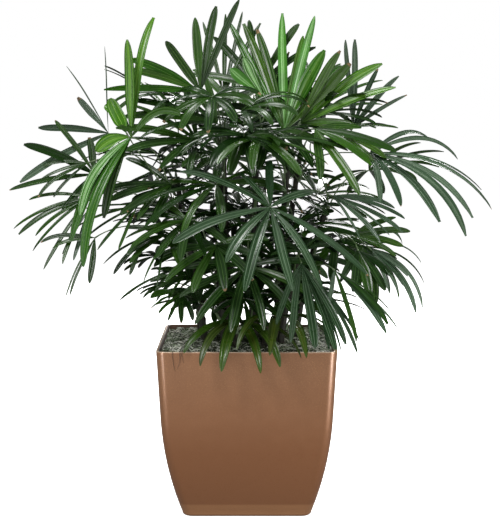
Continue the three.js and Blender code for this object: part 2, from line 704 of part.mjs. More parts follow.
// the stalk moved in until it all but touches its cane
function seatedCurve(node, frond, bow, caneSolid) {
  let inward = 0;
  let curve = stalkCurve(node, frond, null, bow, inward);
  for (let round = 0; round < 3; round++) {
    inward += toSolid(stalkTube(curve, 0)).minGap(caneSolid, gapReach) - seatGap;
    curve = stalkCurve(node, frond, null, bow, inward);
  }
  return curve;
}

// a point inside the tube, a little above its foot
function onStalk(curve) {
  return curve.getPoint(0).lerp(curve.getPoint(1 / stalk.steps), 0.4);
}

// body of a leaflet from just outside the web, for the test alone
function leafletBody(frond, leaflet, room, tweak, grow) {
  const length = leaflet.length * tweak.share;
  if (ringSteps(frond, length)[0] > blade.lastFirstRing) return null;
  const line = leafletLine(frond, leaflet, tweak);
  const radius = blade.web * frond.reach + 1;
  const start = { ...line[0], point: line[0].point.clone().addScaledVector(line[0].heading, radius) };
  const wide = 0.9 * radius * radians(room);
  const root = leafletSection(start, Math.min(wide, leaflet.wide), blade.keel + grow, 0.6 * grow);
  return loft([root, ...leafletSections(frond, leaflet, room, tweak, grow)]);
}

function growLeaflets(frond) {
  const ownWeb = (one) => one.kind === "web" && one.owner === frond;
  frond.sections = frond.leaflets.map((leaflet, i) => {
    const room = roomAt(frond.leaflets, i);
    for (const tweak of tweaks) {
      const body = leafletBody(frond, leaflet, room, tweak, margin);
      if (!body || !isClear(body, ownWeb)) continue;
      place(frond, "leaflet", leafletBody(frond, leaflet, room, tweak, 0));
      return leafletSections(frond, leaflet, room, tweak, 0);
    }
    return [];
  });
}

// a twin that finds no room is left out, and twins grow their leaflets last
function growNodes(nodes) {
  for (const node of nodes) {
    const [first, second] = node.fronds;
    const seated = seatFrond(node, first, null);
    const other = second ? seatFrond(node, second, seated) : null;
    node.fronds = other ? [seated, other] : [seated];
  }
  for (const node of nodes) growLeaflets(node.fronds[0]);
  for (const node of nodes) node.fronds.slice(1).forEach(growLeaflets);
}

// joined into one body, without the slivers that joining leaves
function frondBody(node) {
  let solid = null;
  for (const frond of node.fronds) {
    const fan = toSolid(fanMesh(frond, frond.sections));
    const whole = fan.add(toSolid(stalkTube(frond.stalk, 0)));
    solid = solid ? solid.add(whole) : whole;
  }
  return fromSolid(solid.simplify(shortestEdge));
}

// ---------------------------------------------------------------- assembly

const materials = {
  glaze: new THREE.MeshStandardMaterial({ color: "#8b6548", roughness: 0.45, metalness: 0.35 }),
  soil: new THREE.MeshStandardMaterial({ color: "#2f241b", roughness: 1, metalness: 0 }),
  moss: new THREE.MeshStandardMaterial({ color: "#777c69", roughness: 1, metalness: 0 }),
  sheath: new THREE.MeshStandardMaterial({ color: "#3a2f22", roughness: 0.9, metalness: 0 }),
};

const palm = new THREE.Group();

function addPart(name, geometry, material) {
  const mesh = new THREE.Mesh(geometry, material);
  mesh.name = name;
  palm.add(mesh);
}

const parts = [
  ["planter", planterShell(), materials.glaze],
  ["root_ball", rootBall(), materials.soil],
  ["moss", mossLayer(canes), materials.moss],
  ...canes.map((row, index) => [numbered("cane", index), caneBody(row), materials.sheath]),
];
for (const [name, geometry, material] of parts) {
  addPart(name, geometry, material);
  place(name, "base", geometry);
}

const nodes = planFronds();
growNodes(nodes);
nodes.forEach((node, index) => {
  const color = tones[node.fronds[0].tone];
  const material = new THREE.MeshStandardMaterial({ color, roughness: 0.4, metalness: 0, flatShading: true });
  addPart(numbered("frond", index), frondBody(node), material);
});

export default palm;
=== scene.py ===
import bpy
from math import atan2, cos, hypot, pi, radians, sin
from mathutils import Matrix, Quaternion, Vector


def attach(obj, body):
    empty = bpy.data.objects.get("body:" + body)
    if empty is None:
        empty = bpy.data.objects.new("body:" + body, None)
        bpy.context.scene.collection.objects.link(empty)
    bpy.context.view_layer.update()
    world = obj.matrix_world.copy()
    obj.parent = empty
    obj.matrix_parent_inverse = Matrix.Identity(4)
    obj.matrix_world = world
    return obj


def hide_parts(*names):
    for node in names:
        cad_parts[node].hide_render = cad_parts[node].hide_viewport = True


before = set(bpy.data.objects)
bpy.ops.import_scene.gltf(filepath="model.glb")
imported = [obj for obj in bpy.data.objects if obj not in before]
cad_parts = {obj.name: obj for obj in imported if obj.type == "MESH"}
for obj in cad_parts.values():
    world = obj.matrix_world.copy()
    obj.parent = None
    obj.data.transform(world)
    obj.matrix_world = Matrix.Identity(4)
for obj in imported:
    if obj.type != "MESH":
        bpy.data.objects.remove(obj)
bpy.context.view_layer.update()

mm = 0.001


# shader building: a socket that can be used in sums, and one maker for every other node

class Wire:
    def __init__(self, maker, socket):
        self.maker = maker
        self.socket = socket

    def combine(self, operation, first, second):
        return self.maker.node("ShaderNodeMath", {"operation": operation}, {0: first, 1: second})["Value"]

    def __add__(self, other):
        return self.combine("ADD", self, other)

    def __sub__(self, other):
        return self.combine("SUBTRACT", self, other)

    def __rsub__(self, other):
        return self.combine("SUBTRACT", other, self)

    def __mul__(self, other):
        return self.combine("MULTIPLY", self, other)

    __radd__ = __add__
    __rmul__ = __mul__


class Finish:
    # the nodes of one material, or of the world
    def __init__(self, name, kind="materials"):
        self.owner = getattr(bpy.data, kind).new(name)
        self.owner.use_nodes = True
        self.tree = self.owner.node_tree
        self.tree.nodes.clear()
        self.count = 0

    def node(self, kind, settings=None, sockets=None):
        made = self.tree.nodes.new(kind)
        self.count += 1
        made.location = (220 * (self.count % 6), -260 * (self.count // 6))
        for key, value in (settings or {}).items():
            setattr(made, key, value)
        for key, value in (sockets or {}).items():
            if isinstance(value, Wire):
                self.tree.links.new(value.socket, made.inputs[key])
            else:
                made.inputs[key].default_value = value
        return {out.name: Wire(self, out) for out in made.outputs if out.enabled}

    def place(self):
        return self.node("ShaderNodeTexCoord")["Object"]

    def noise(self, scale, detail, rough, stretch=None):
        place = self.place()
        if stretch:
            place = self.node("ShaderNodeVectorMath", {"operation": "MULTIPLY"}, {0: place, 1: stretch})["Vector"]
        return self.node("ShaderNodeTexNoise", {}, {
            "Vector": place, "Scale": scale, "Detail": detail, "Roughness": rough})["Fac"]

    def spread(self, value, low, high, toLow=0.0, toHigh=1.0):
        return self.node("ShaderNodeMapRange", {"clamp": True}, {
            "Value": value, 1: low, 2: high, 3: toLow, 4: toHigh})["Result"]

    def blend(self, amount, first, second):
        return self.node("ShaderNodeMix", {"data_type": "RGBA"}, {0: amount, 6: first, 7: second})["Result"]

    def bump(self, height, strength, distance):
        return self.node("ShaderNodeBump", {}, {
            "Height": height, "Strength": strength, "Distance": distance})["Normal"]

    def surface(self, **sockets):
        named = {key.replace("_", " "): value for key, value in sockets.items()}
        shader = self.node("ShaderNodeBsdfPrincipled", {}, named)
        self.node("ShaderNodeOutputMaterial", {}, {"Surface": shader["BSDF"]})
        return self.owner


def tint(red, green, blue):
    # screen colour, 0 to 255, as the linear colour that a shader takes
    def linear(c):
        c = c / 255
        return c / 12.92 if c <= 0.04045 else ((c + 0.055) / 1.055) ** 2.4
    return (linear(red), linear(green), linear(blue), 1.0)


def shade(colour, amount):
    return (colour[0] * amount, colour[1] * amount, colour[2] * amount, 1.0)


def patchy(name, grain, share, colours, rough, relief):
    # two colours in patches of one noise, which is the relief too
    f = Finish(name)
    patch = f.noise(*grain)
    base = f.blend(f.spread(patch, *share), *colours)
    return f.surface(Base_Color=base, Roughness=rough, Normal=f.bump(patch, *relief))


def seeded(seed):
    # the same small random generator that the solids are grown with
    state = seed & 0xFFFFFFFF

    def draw(low, high):
        nonlocal state
        state = (state + 0x6D2B79F5) & 0xFFFFFFFF
        t = state
        t = ((t ^ (t >> 15)) * (t | 1)) & 0xFFFFFFFF
        t ^= (t + (((t ^ (t >> 7)) * (t | 61)) & 0xFFFFFFFF)) & 0xFFFFFFFF
        return low + (high - low) * ((t ^ (t >> 14)) & 0xFFFFFFFF) / 4294967296
    return draw


class Shape:
    # points and faces of one joined piece, in millimetres until it is made
    def __init__(self):
        self.points = []
        self.faces = []
        self.slots = []

    def face(self, corners, slot=0):
        self.faces.append(corners)
        self.slots.append(slot)

    def ring(self, points):
        start = len(self.points)
        self.points.extend(points)
        return list(range(start, start + len(points)))

    def bridge(self, low, high, closed=True, slots=None):
        count = len(low)
        for i in range(count if closed else count - 1):
            j = (i + 1) % count
            self.face((low[i], low[j], high[j], high[i]), slots[i] if slots else 0)

    def sheet(self, half, count, height):
        # a square grid, at each place as high as the given rule says
        rows = []
        for j in range(count + 1):
            y = lerp(-half, half, j / count)
            across = [lerp(-half, half, i / count) for i in range(count + 1)]
            rows.append(self.ring([Vector((x, y, height(x, y))) for x in across]))
        for low, high in zip(rows, rows[1:]):
            self.bridge(low, high, closed=False)

    def build(self, name, materials):
        mesh = bpy.data.meshes.new(name)
        mesh.from_pydata([(p[0] * mm, p[1] * mm, p[2] * mm) for p in self.points], [], self.faces)
        for material in materials:
            mesh.materials.append(material)
        mesh.polygons.foreach_set("material_index", self.slots)
        mesh.polygons.foreach_set("use_smooth", [True] * len(self.faces))
        mesh.update()
        piece = bpy.data.objects.new(name, mesh)
        bpy.context.scene.collection.objects.link(piece)
        return piece

    def make(self, name, materials, replaced, slot):
        piece = self.build(name, materials)
        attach(piece, "root")
        if replaced:
            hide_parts(*replaced)
        return piece


def lerp(a, b, share):
    return a + (b - a) * share


# planter: a square shell with rounded corners, narrowing in a curve towards its foot

planter = {
    "height": 350, "rimHalf": 181.5, "taper": 0.054, "bendDepth": 137, "bend": 0.00072,
    "wall": 6, "floor": 10, "corner": 20, "footRound": 8, "rimRound": 1.6, "rimBand": 4,
    "cornerSteps": 9, "sideSteps": 6, "levels": 40, "innerLevels": (335, 300, 215, 120, 60), "crease": 40,
    # the low bronze is painted shade for the lower wall
    "bronze": tint(148, 106, 75), "bronzeShadedLow": tint(130, 86, 55), "bronzeDark": tint(100, 62, 36),
    # the rim bronze is a painted highlight, pale where light catches the lip
    "fleck": tint(206, 158, 112), "rimHighlightBronze": tint(196, 176, 152), "inside": tint(92, 66, 48),
    # the height span of that painted shade, and the painted band of floor light round the foot
    "shadeSpan": (140, 310), "footBounceLight": 27.5, "bounceEdge": 2,
}
soilTop = 318
moss = {"edge": 336, "crown": 347, "crownHalf": 105, "sunk": 4, "grid": 60}


def outerHalf(z):
    depth = planter["height"] - z
    below = max(0, depth - planter["bendDepth"])
    return planter["rimHalf"] - planter["taper"] * depth - planter["bend"] * below * below


def squareRing(half, corner, z):
    def onCorner(quarter, angle):
        sx, sy = ((1, 1), (-1, 1), (-1, -1), (1, -1))[quarter % 4]
        return Vector((sx * (half - corner) + corner * cos(angle), sy * (half - corner) + corner * sin(angle), z))

    points = []
    steps, between = planter["cornerSteps"], planter["sideSteps"]
    for quarter in range(4):
        points += [onCorner(quarter, (quarter + i / steps) * pi / 2) for i in range(steps + 1)]
        # more along the side, so that the wall shades evenly
        last, following = points[-1], onCorner(quarter + 1, (quarter + 1) * pi / 2)
        points += [last.lerp(following, k / between) for k in range(1, between)]
    return points


def bronzeFinish():
    f = Finish("bronzePaint")
    cloud = f.noise(9, 4, 0.6)
    grain = f.noise(300, 3, 0.7)
    fleck = f.noise(520, 1, 0.5)
    worn = f.noise(60, 5, 0.65)
    base = f.blend(f.spread(cloud, 0.35, 0.68), planter["bronze"], shade(planter["bronze"], 0.86))
    base = f.blend(f.spread(grain, 0.36, 0.56) * 0.2, base, planter["bronzeDark"])
    base = f.blend(f.spread(fleck, 0.60, 0.72) * 0.3, base, planter["fleck"])
    # painted shade: darker towards the floor, where the lower wall faces down, and a painted pool of light: a
    # paler band round the foot, for light thrown back up by the floor
    height = f.node("ShaderNodeSeparateXYZ", {}, {0: f.place()})["Z"] * (1 / mm)
    band, edge = planter["footBounceLight"], planter["bounceEdge"]
    base = f.blend(1 - f.spread(height, *planter["shadeSpan"]), base, planter["bronzeShadedLow"])
    base = f.blend((1 - f.spread(height, band - edge, band + edge)) * 0.19, base, planter["fleck"])
    rough = f.spread(grain, 0.3, 0.7, 0.32, 0.42) + f.spread(worn, 0.4, 0.7, 0.0, 0.07)
    metal = f.spread(fleck, 0.55, 0.72, 0.35, 0.6)
    return f.surface(Base_Color=base, Roughness=rough, Metallic=metal, Coat_Weight=0.6, Coat_Roughness=0.2,
                     Normal=f.bump(grain * 0.7 + fleck * 0.3, 0.1, 0.0006))


def rimFinish():
    f = Finish("rimHighlightBronze")
    grain = f.noise(500, 3, 0.7)
    # painted highlight: the lip is a pale bronze, as if catching the light
    base = f.blend(f.spread(grain, 0.4, 0.6) * 0.5, planter["rimHighlightBronze"], planter["bronzeDark"])
    return f.surface(Base_Color=base, Roughness=f.spread(grain, 0.3, 0.7, 0.4, 0.55), Metallic=0.3,
                     Normal=f.bump(grain, 0.2, 0.0005))


def makePlanter():
    shell = Shape()
    p = planter
    profile = []  # half, corner, height, slot of the band above it
    for angle in range(0, 91, 15):
        inset = p["footRound"] * (1 - sin(radians(angle)))
        z = p["footRound"] * (1 - cos(radians(angle)))
        profile.append((outerHalf(p["footRound"]) - inset, p["corner"] - inset / 2, z, 0))
    rise = p["height"] - p["rimBand"] - p["footRound"]
    for i in range(1, p["levels"] + 1):
        z = p["footRound"] + rise * i / p["levels"]
        profile.append((outerHalf(z), p["corner"], z, 0))
    top = outerHalf(p["height"])
    innerCorner = p["corner"] - p["wall"]

    def lip(angle):
        turn = radians(angle)
        return p["rimRound"] * (1 - cos(turn)), p["height"] - p["rimRound"] * (1 - sin(turn))

    for angle in range(0, 91, 30):
        out, z = lip(angle)
        profile.append((top - out, p["corner"] - out, z, 1))
    for angle in range(90, -1, -30):
        out, z = lip(angle)
        profile.append((top - p["wall"] + out, innerCorner + out, z, 2))
    for z in p["innerLevels"] + (p["floor"],):
        profile.append((outerHalf(z) - p["wall"], innerCorner, z, 2))
    rings = [shell.ring(squareRing(half, corner, z)) for half, corner, z, _ in profile]
    shell.face(list(reversed(rings[0])))
    for k in range(len(rings) - 1):
        shell.bridge(rings[k], rings[k + 1], slots=[profile[k][3]] * len(rings[k]))
    shell.face(rings[-1], 2)
    # painted shade: the inside wall is darker than the outside bronze, in patches
    inside = p["inside"], shade(p["inside"], 0.55)
    shadedInsideFinish = patchy("planterInside", (35, 4, 0.6), (0.4, 0.7), inside, 0.65, (0.2, 0.001))
    piece = shell.make("planterShell", [bronzeFinish(), rimFinish(), shadedInsideFinish], ["planter"], "planter")
    piece.data.set_sharp_from_angle(angle=radians(p["crease"]))


makePlanter()
print("planter made")


# moss: a lumpy bed, and a loose tangle of curled strands over it

strands = {
    "count": 5400, "seed": 11, "steps": 7, "length": (26, 62), "thick": 1.02, "curl": 0.7, "lift": 12,
    # how far the painted shade between the canes reaches, how soft its edge is, and the share of strands left out
    # there
    "shadeReach": 100, "shadeEdge": 30, "dimBare": 0.45,
    "pale": tint(250, 252, 238), "green": tint(158, 174, 142), "dark": tint(66, 74, 52), "bed": tint(24, 26, 18),
}
# dry threads over the front of the rim: place along it, how far they hang, and their sway
threads = {"brown": tint(92, 68, 50), "thick": 0.8, "rows": ((-147, 38, 5), (-132, 34, -6), (-128, 22, 3))}


def mossHeight(x, y):
    reach = max(abs(x), abs(y))
    inner = outerHalf(soilTop) - planter["wall"] - 1
    share = max(0, (reach - moss["crownHalf"]) / (inner - moss["crownHalf"]))
    lumps = 1.6 * sin(x * 0.071 + 1.3) * cos(y * 0.083) + 1.1 * sin(x * 0.19 + y * 0.14)
    return lerp(moss["crown"], moss["edge"], min(1, share)) - moss["sunk"] + lumps


def mossFinish(name, colour):
    return patchy(name, (300, 3, 0.6), (0.35, 0.7), (colour, shade(colour, 0.55)), 0.85, (0.3, 0.0005))


def makeMoss():
    bed = Shape()
    side = outerHalf(moss["edge"]) - planter["wall"]
    bed.sheet(side - 1, moss["grid"], mossHeight)
    # painted shade: the bed is near-black with dark green patches, for the shade in the gaps between the strands
    colours = strands["bed"], strands["dark"]
    gapShadeBed = patchy("mossBed", (160, 5, 0.7), (0.42, 0.62), colours, 0.95, (0.8, 0.003))
    bed.make("mossBed", [gapShadeBed], ["moss"], "moss")

    draw = seeded(strands["seed"])
    tangles = [Shape(), Shape(), Shape()]
    inner = side - 2.5
    for _ in range(strands["count"]):
        x, y = draw(-inner, inner), draw(-inner, inner)
        if abs(x) + abs(y) > 2 * inner - 12:  # the rounded corners
            continue
        heading = draw(0, 2 * pi)
        curl = draw(-1, 1) * strands["curl"]
        wave = draw(0.2, 0.9)
        phase = draw(0, 6)
        length = draw(*strands["length"])
        thick = strands["thick"] * draw(0.6, 1.25)
        lift = draw(0.2, strands["lift"])
        # painted shade: between the canes the strands take the dark colour, and are thinner
        dim = hypot(x, y) < strands["shadeReach"] + draw(-1, 1) * strands["shadeEdge"]
        if dim and draw(0, 1) < strands["dimBare"]:
            continue
        tangle = tangles[2 if dim else int(draw(0, 2.999))]
        step = length / strands["steps"]
        previous = None
        for s in range(strands["steps"] + 1):
            share = s / strands["steps"]
            z = mossHeight(x, y) + lift * sin(pi * share) + 1.2 * sin(phase + 5 * share)
            turn = heading + curl * s + wave * sin(phase + 1.3 * s)
            ahead = Vector((cos(turn), sin(turn), 0))
            across = Vector((-sin(turn), cos(turn), 0))
            slim = thick * (1 - 0.6 * share)
            middle = Vector((x, y, z))
            up = Vector((0, 0, slim * 1.5))
            ring = tangle.ring([middle + across * slim, middle - across * slim, middle + up])
            if previous:
                tangle.bridge(previous, ring)
            previous = ring
            x = max(-inner, min(inner, x + ahead.x * step))
            y = max(-inner, min(inner, y + ahead.y * step))
    for tangle, colour in zip(tangles, ("pale", "green", "dark")):
        tangle.make(f"{colour}MossStrands", [mossFinish(f"{colour}Moss", strands[colour])], [], "moss")

    loose = Shape()
    front = -outerHalf(planter["height"])
    for x, drop, sway in threads["rows"]:
        path = [(x + 6, front + 16, 338), (x + 4, front + 8, 349), (x + 2, front + 3, 352.5),
                (x, front - 1.2, 351.5), (x - 1, front - 2.2, 344)]
        for k in range(1, 6):
            path.append((x + sway * (k / 5) ** 2, front - 1.6 + 0.25 * k, 344 - (drop - 6) * k / 5))
        previous = None
        for k, place in enumerate(path):
            slim = threads["thick"] * (1 - 0.06 * k)
            corners = (slim, 0, 0), (-slim, 0, 0), (0, -slim * 1.4, slim * 0.3)
            ring = loose.ring([Vector(place) + Vector(corner) for corner in corners])
            if previous:
                loose.bridge(previous, ring)
            previous = ring
    loose.make("mossThreads", [mossFinish("threadBrown", threads["brown"])], [], "moss")


makeMoss()
print("moss made")


# root ball: dark potting mix under the moss

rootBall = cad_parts["root_ball"]
rootBall.data.materials.clear()
rootBall.data.materials.append(
    patchy("pottingMix", (260, 5, 0.7), (0.4, 0.65), (tint(38, 30, 22), tint(84, 68, 50)), 0.95, (0.9, 0.003)))
print("root ball finished")


# the plan of canes and fronds, by the same rule and from the same sizes as the solids

cane = {
    "footRadius": 7.5, "topRadius": 6, "tip": 5, "straight": 0.4, "sides": 14, "ring": 4.0,
    "sheathLength": (20, 34), "fibres": 46, "fibreLength": (12, 30),
    "sheath": tint(38, 36, 24), "fibre": tint(66, 60, 42), "dark": tint(14, 18, 10),
}
stalk = {"firstBelowTop": 12, "spacing": 26, "steps": 18, "sides": 8}
shoot = {"lowerThan": 450, "firstBelowTop": 8, "spacing": 14}
blade = {"wide": 19, "narrowing": 0.25, "fall": 0.25, "cup": 12, "steps": 12}
twin = {"inward": 0.3, "higher": 70, "rise": 10}


def fan(hub, aim, reach, droop, **more):
    # the place of its hub, the compass and rise of its middle leaflet, its leaflets' length and droop
    return {"hub": hub, "aim": aim, "reach": reach, "droop": droop, **more}


canes = [
    {"foot": (-85, -50), "top": (-130, -75, 600), "fronds": [
        fan((-228, -150, 774), (180, 0), 240, 1.6, roll=-75, wide=20, tone="fresh",
            angles=(-128, -95, -89, -68, 2, 40, 49, 58, 65),
            lengths=(0.5, 1.04, 0.8, 0.36, 0.32, 0.8, 1, 1.18, 0.72),
            widths=(0.8, 0.8, 1.1, 1.4, 1.3, 1, 1, 1, 0.9)),
        fan((-305, -120, 572), (-160, -45), 125, 0.6, roll=-50, wide=13, angles=(-56, -44, 16, 22, 42),
            lengths=(0.9, 0.7, 1.12, 1.06, 0.8), widths=(0.7, 0.7, 0.4, 0.4, 1)),
        fan((-215, -160, 640), (-160, -32), 130, 0.3, roll=-45, wide=8, spread=90, count=5)]},
    {"foot": (-95, 30), "top": (-150, 40, 680), "fronds": [
        fan((-292, 40, 779), (180, 38), 175, 0.15, roll=-75, wide=15, tone="grey",
            angles=(-49, -22, -12, 32, 65), lengths=(1.04, 0.94, 0.56, 0.85, 1.28),
            widths=(0.2, 0.22, 1, 1, 1.1)),
        fan((-315, -20, 695), (180, 15), 172, 0.25, roll=-68, wide=21, angles=(-66, -40, -10, 26, 66),
            lengths=(0.45, 0.8, 0.92, 1.05, 0.65), widths=(0.8, 0.5, 1, 0.6, 0.8)),
        fan((-320, -60, 650), (180, -34), 172, 0.45, roll=-50, wide=13, angles=(-40, -17, -10, 3, 15, 32, 46),
            lengths=(0.78, 1, 0.97, 0.8, 0.95, 1.05, 0.93))]},
    {"foot": (-45, -85), "top": (-60, -125, 520), "fronds": [
        fan((-154, -180, 586), (-165, -20), 100, 0.5, roll=-45, wide=16, angles=(-38, 4, 16, 44, 59, 86),
            lengths=(0.88, 0.98, 1.06, 1.25, 1.4, 0.93), widths=(0.7, 1.4, 1, 0.35, 0.3, 1.2)),
        fan((-130, -150, 465), (-140, -15), 88, 0.6, roll=-45, wide=13, angles=(-22, -4, 13, 28, 49, 73),
            lengths=(0.85, 1, 0.9, 0.95, 0.9, 0.8), widths=(1.3, 0.4, 0.5, 0.6, 0.9, 0.9),
            beside=fan((-90, -70, 430), (-130, 0), 95, 0.5, spread=220, count=7)),
        fan((-60, -200, 565), (-98, -45), 130, 0.5, spread=230, count=8),
        fan((-115, -165, 610), (-140, -30), 130, 0.5, roll=-20, spread=200, count=8)]},
    {"foot": (-40, -20), "top": (-50, -25, 770), "fronds": [
        fan((-150, -120, 680), (-165, -18), 135, 0.4, roll=-45, angles=(-62, -16, -4, 14, 32, 50),
            lengths=(0.85, 1, 0.98, 0.95, 0.9, 0.85),
            beside=fan((-110, 0, 740), (170, 10), 165, 0.5, spread=220, count=7)),
        fan((-95, -40, 865), (170, 65), 180, 0.2, roll=-70, angles=(-45, -33, -18, 10, 38, 47, 63),
            lengths=(1.12, 0.97, 0.83, 0.69, 0.88, 0.85, 1.13),
            beside=fan((-60, -60, 800), (178, 14), 190, 0.4, roll=-35, wide=21, spread=150, count=7)),
        fan((-60, -140, 680), (-110, -30), 190, 0.5, spread=260, count=9,
            beside=fan((-60, -60, 610), (-140, -10), 165, 0.5, spread=230, count=7)),
        fan((-100, -100, 765), (-165, 10), 170, 0.4, roll=-40, spread=180, count=7)]},
    {"foot": (-35, 60), "top": (-60, 100, 720), "fronds": [
        fan((-50, 60, 860), (70, 80), 212, 0.1, roll=180, wide=12, spread=50, count=4)]},
    {"foot": (10, -60), "top": (15, -95, 640), "fronds": [
        fan((45, -290, 645), (-80, -40), 225, 0.4, tone="blue",
            angles=(-152, -121, -67, -38, -22, 0, 14, 37, 118, 175),
            lengths=(0.47, 0.82, 1, 0.87, 1.06, 1, 1.1, 1.13, 0.44, 0.53)),
        fan((0, -190, 520), (-90, -50), 165, 0.5, spread=220, count=8,
            beside=fan((-5, -85, 450), (-95, -10), 140, 0.6, spread=220, count=7))]},
    {"foot": (15, 10), "top": (20, 10, 780), "fronds": [
        fan((110, -60, 800), (0, 30), 185, 0.3, roll=65, wide=22, tone="fresh", angles=(-34, -10, 9, 25, 50),
            lengths=(0.66, 1.12, 1.11, 0.77, 0.6)),
        fan((25, -150, 770), (-80, -20), 185, 0.6, wide=22, spread=230, count=8,
            beside=fan((35, 30, 790), (60, 30), 165, 0.5, spread=230, count=7))]},
    {"foot": (20, 85), "top": (40, 140, 660), "fronds": []},
    {"foot": (60, -30), "top": (85, -45, 720), "fronds": [
        fan((75, -100, 785), (90, 78), 258, 0.12, roll=180, wide=20, tone="pale",
            angles=(-25, -17, -11, -1, 11, 15, 23, 40),
            lengths=(1.06, 1.01, 0.94, 1.09, 0.89, 1.02, 0.76, 0.77), widths=(0.9, 1, 0.9, 1, 1, 0.9, 1.4, 1.4)),
        fan((170, -140, 658), (-18, -32), 155, 0.4, roll=25, wide=14, tone="grey", spread=90, count=6,
            beside=fan((110, -30, 590), (-30, -10), 160, 0.6, spread=220, count=7)),
        fan((45, -90, 788), (-65, -35), 140, 0.9, roll=10, wide=24, spread=150, count=5),
        fan((135, -140, 790), (-5, -15), 168, 0.4, roll=55, wide=20, tone="mid", angles=(-70, -46, -20, 0, 22),
            lengths=(0.75, 1.05, 0.85, 1, 0.55))]},
    {"foot": (70, 50), "top": (115, 80, 740), "fronds": [
        fan((226, 80, 790), (10, 60), 155, 0.2, roll=65, wide=13, tone="grey", angles=(-30, -12, 6, 25, 33),
            lengths=(0.88, 0.95, 0.88, 1.2, 1.2)),
        fan((252, -60, 740), (-15, -15), 250, 1.12, roll=25, tone="grey",
            angles=(-66, -50, -35, -25, -11, 3, 16, 52, 72),
            lengths=(0.66, 0.7, 0.95, 1.2, 1.06, 1.13, 0.98, 0.9, 0.85))]},
    {"foot": (65, -90), "top": (105, -140, 530), "fronds": [
        fan((105, -250, 535), (-72, -55), 195, 0.4, wide=16, tone="blue", angles=(-37, -24, -6, 8, 15),
            lengths=(0.85, 0.97, 1, 1.05, 1), widths=(0.8, 1, 1.1, 1.2, 1)),
        fan((172, -200, 515), (-42, -50), 165, 0.5, roll=10, wide=16, angles=(-50, -25, 8, 15, 22, 34),
            lengths=(0.66, 1.05, 1, 0.92, 1.03, 0.85), widths=(0.6, 0.8, 1.1, 1, 0.4, 0.3),
            beside=fan((95, -60, 440), (-40, -10), 150, 0.5, spread=220, count=7))]},
    {"foot": (100, 0), "top": (165, -5, 620), "fronds": [
        fan((234, -100, 554), (-20, -32), 165, 1.8, roll=35, wide=15,
            angles=(-76, -42, -18, -8, -2, 10, 30, 54, 86),
            lengths=(0.46, 0.85, 0.72, 0.85, 1.1, 1.12, 0.95, 0.88, 0.76),
            widths=(1.3, 1.5, 0.8, 0.7, 0.8, 0.7, 0.5, 0.3, 1.1),
            beside=fan((180, -60, 560), (-60, -50), 120, 0.6, spread=200, count=7))]},
    {"foot": (-20, -100), "top": (-24, -112, 385), "fronds": [
        fan((-15, -125, 405), (-90, -15), 185, 1.6, tone="mid", spread=150, count=6)]},
    {"foot": (35, -108), "top": (42, -122, 390), "fronds": [
        fan((65, -135, 415), (-75, 0), 185, 1.6, tone="mid", spread=120, count=5)]},
]

tiers = [
    {"height": 510, "radius": 185, "count": 4, "from": 20, "to": 147, "rise": -20, "reach": 175, "droop": 0.4,
     "twin": True},
    {"height": 670, "radius": 255, "count": 5, "from": 12, "to": 175, "rise": -12, "reach": 185, "droop": 0.5,
     "twin": True},
    {"height": 800, "radius": 165, "count": 3, "from": 10, "to": 180, "rise": 30, "reach": 195, "droop": 0.4,
     "twin": False},
    {"height": 815, "radius": 60, "count": 1, "from": 40, "to": 60, "rise": 60, "reach": 160, "droop": 0.3,
     "twin": True},
]


def caneAt(row, z):
    rise = (z - soilTop) / (row["top"][2] - soilTop)
    share = cane["straight"] * rise + (1 - cane["straight"]) * rise * rise
    return Vector((lerp(row["foot"][0], row["top"][0], share), lerp(row["foot"][1], row["top"][1], share), z))


def caneRadius(row, z):
    rise = (z - soilTop) / (row["top"][2] - soilTop)
    return lerp(cane["footRadius"], cane["topRadius"], min(1, max(0, rise)))


def drawLeaflets(frond, draw):
    leaflets = []
    for i in range(frond["count"]):
        across = (i + 0.5) / frond["count"] * 2 - 1
        turn, longer, sag, twist = draw(-1, 1), draw(-1, 1), draw(-1, 1), draw(-1, 1)
        even = frond["spread"] / 2 * across + turn * frond["spread"] / frond["count"] * 0.14
        angle = frond["angles"][i] if "angles" in frond else even
        share = (1 - blade["fall"] * across * across) * (1 + 0.1 * longer)
        if "lengths" in frond:
            share = frond["lengths"][i]
        broad = frond["widths"][i] if "widths" in frond else 1 - blade["narrowing"] * across * across
        leaflets.append({"angle": angle, "length": frond["reach"] * share, "sag": sag,
                         "twist": radians(30 * twist), "wide": frond["wide"] * broad})
    return leaflets


def fillerNodes():
    draw = seeded(7)
    nodes = []
    for tier in tiers:
        step = (tier["to"] - tier["from"]) / tier["count"]
        for i in range(tier["count"]):
            fronds = []
            for t in range(2 if tier["twin"] else 1):
                place = i + 0.25 + 0.5 * t if tier["twin"] else i + 0.5
                azimuth = tier["from"] + step * place + draw(-8, 8)
                radius = tier["radius"] * (1 + draw(-0.12, 0.12)) * (1 - twin["inward"] * t)
                z = tier["height"] + draw(-30, 30) + twin["higher"] * t
                hub = (radius * cos(radians(azimuth)), radius * sin(radians(azimuth)), z)
                aim = (azimuth + draw(-20, 20), tier["rise"] + draw(-10, 10) + twin["rise"] * t)
                roll, spread = draw(-25, 25), draw(200, 290)
                reach = tier["reach"] * (1 + draw(-0.1, 0.1))
                fronds.append(fan(hub, aim, reach, tier["droop"], roll=roll, spread=spread, count=8,
                                  wide=draw(15, 20)))
            nodes.append({"fronds": fronds})
    return nodes


def chooseCane(hub, load):
    # the nearest tall cane that ends below the hub and doesn't carry too many yet
    def cost(index):
        top = canes[index]["top"]
        rise = hub[2] - top[2]
        away = hypot(top[0] - hub[0], top[1] - hub[1])
        return away + 2 * max(0, 20 - rise) + 1.5 * max(0, rise - 200) + 35 * load[index]
    return min((i for i, row in enumerate(canes) if row["top"][2] >= shoot["lowerThan"]), key=cost)


